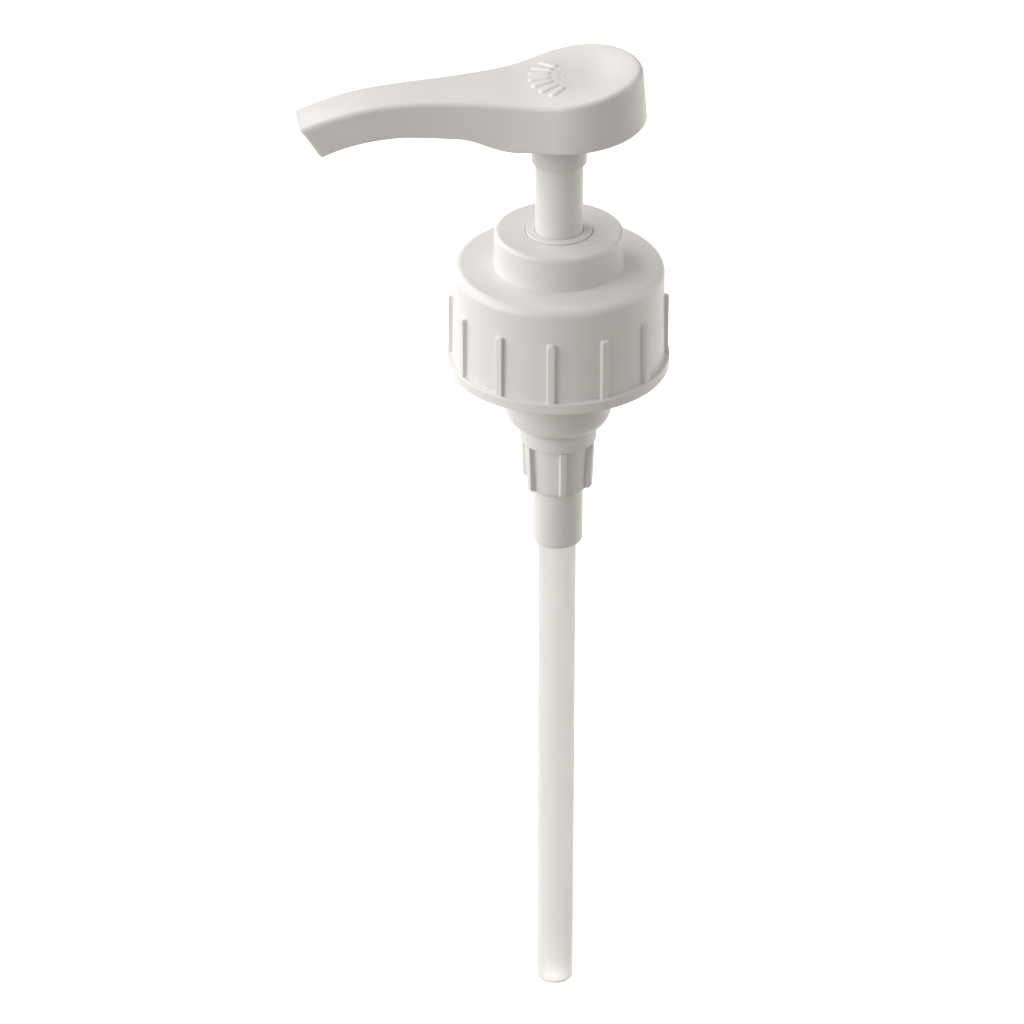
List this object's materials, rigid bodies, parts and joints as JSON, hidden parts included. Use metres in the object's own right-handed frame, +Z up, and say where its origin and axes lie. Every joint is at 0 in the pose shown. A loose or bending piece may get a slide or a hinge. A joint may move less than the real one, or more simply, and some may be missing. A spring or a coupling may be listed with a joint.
{
  "type": "condiment pump dispenser",
  "caption": "Hand-worked plastic condiment pump with a lever head and curved spout, a ribbed screw cap for a wide-mouth jug, a spring plunger and a long dip tube.",
  "frame": {"origin": "centre of the jug neck's sealing plane, which is the gasket's lower face, on the pump's axis", "axes": "+Z up along the pump's axis, from the dip tube to the head; the spout points along -X; +Y completes the right-handed frame"},
  "size_m": [0.1153, 0.0696, 0.3371],
  "materials": {
    "white_plastic": "satin moulded, warm white",
    "natural_plastic": "milky, slightly translucent extruded tube",
    "seal_plastic": "soft waxy natural",
    "seal_rubber": "matt black",
    "gasket_foam": "matt closed-cell foam",
    "steel": "bright stainless"
  },
  "bodies": {
    "pump_body": {"pump_housing": "white_plastic", "barrel_cap": "white_plastic", "stem_wiper": "seal_rubber", "neck_gasket": "gasket_foam", "inlet_valve_body": "white_plastic", "valve_o_ring": "seal_rubber", "coupling_nut": "white_plastic", "ball_cage": "seal_plastic", "dip_tube": "natural_plastic", "return_spring": "steel"},
    "closure": {"screw_cap": "white_plastic"},
    "piston_unit": {"piston": "white_plastic", "piston_seal": "seal_plastic", "outlet_seat": "seal_plastic"},
    "head": {"actuator_head": "white_plastic", "spout_floor": "white_plastic", "stem_socket": "white_plastic", "stem": "white_plastic"},
    "lower_ball": {"inlet_ball": "steel"},
    "upper_ball": {"outlet_ball": "steel"}
  },
  "joints": [
    {"name": "plunger_slide", "type": "slide", "parent": "pump_body", "child": "piston_unit", "axis": [0, 0, -1], "range_m": [0, 0.022], "stiffness_N_per_m": 400, "springref_m": -0.02, "deforming": ["return_spring"]},
    {"name": "head_swivel", "type": "hinge", "parent": "piston_unit", "child": "head", "pos_m": [0, 0, 0.0045], "axis": [0, 0, 1], "continuous": true},
    {"name": "cap_spin", "type": "hinge", "parent": "pump_body", "child": "closure", "pos_m": [0, 0, 0], "axis": [0, 0, 1], "continuous": true},
    {"name": "inlet_ball_lift", "type": "slide", "parent": "pump_body", "child": "lower_ball", "axis": [0, 0, 1], "range_m": [0, 0.003]},
    {"name": "outlet_ball_lift", "type": "slide", "parent": "piston_unit", "child": "upper_ball", "axis": [0, 0, 1], "range_m": [0, 0.002]}
  ]
}
